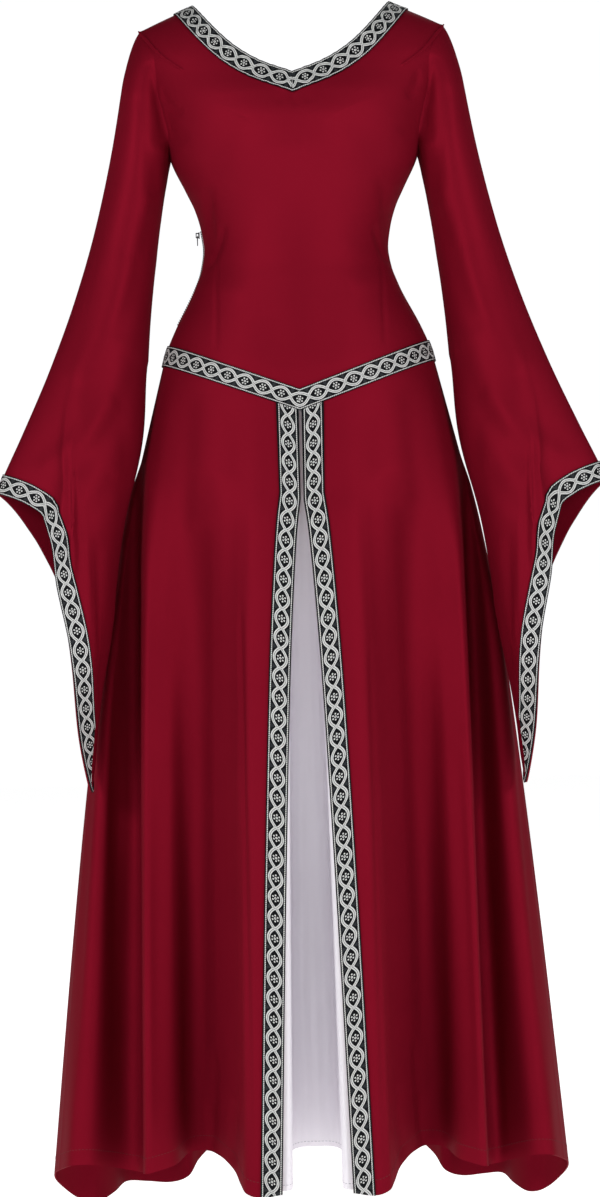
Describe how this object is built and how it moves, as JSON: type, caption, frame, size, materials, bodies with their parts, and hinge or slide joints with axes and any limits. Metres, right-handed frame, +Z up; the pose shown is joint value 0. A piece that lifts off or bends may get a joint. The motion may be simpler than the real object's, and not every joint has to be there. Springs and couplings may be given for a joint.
{
  "type": "medieval gown",
  "caption": "Floor-length hollow gown with a wide V neck, flared angel sleeves, a pointed ribbon girdle, a front-opened folded skirt over a white inset, and a side zip.",
  "frame": {"origin": "midway between the shoulders, on the line of the shoulder seams", "axes": "+Z up along the gown, +X towards the wearer's left, -Y out of the front"},
  "size_m": [0.7174, 0.3911, 1.4468],
  "materials": {
    "crimson_cloth": "matte satin-backed crepe, deep crimson",
    "white_satin": "soft white satin",
    "woven_ribbon": "black jacquard ribbon with silver interlace",
    "zip_metal": "black enamelled zip"
  },
  "bodies": {
    "gown": {"bodice_front": "crimson_cloth", "bodice_back": "crimson_cloth", "skirt_front_left": "crimson_cloth", "skirt_front_right": "crimson_cloth", "skirt_back": "crimson_cloth", "sleeve_left": "crimson_cloth", "sleeve_right": "crimson_cloth", "inset": "white_satin", "cuff_trim_left": "woven_ribbon", "cuff_trim_right": "woven_ribbon", "neck_trim_front": "woven_ribbon", "neck_trim_back": "woven_ribbon", "skirt_trim_left": "woven_ribbon", "skirt_trim_right": "woven_ribbon", "girdle_trim_front": "woven_ribbon", "girdle_trim_back": "woven_ribbon", "zip_chain": "zip_metal", "zip_slider": "zip_metal"},
    "pull_tab": {"zip_pull": "zip_metal"}
  },
  "joints": [
    {"name": "pull_tab_swing", "type": "hinge", "parent": "gown", "child": "pull_tab", "pos_m": [-0.11812, 0, -0.27185], "axis": [0, 1, 0], "range_deg": [0, 120]}
  ]
}
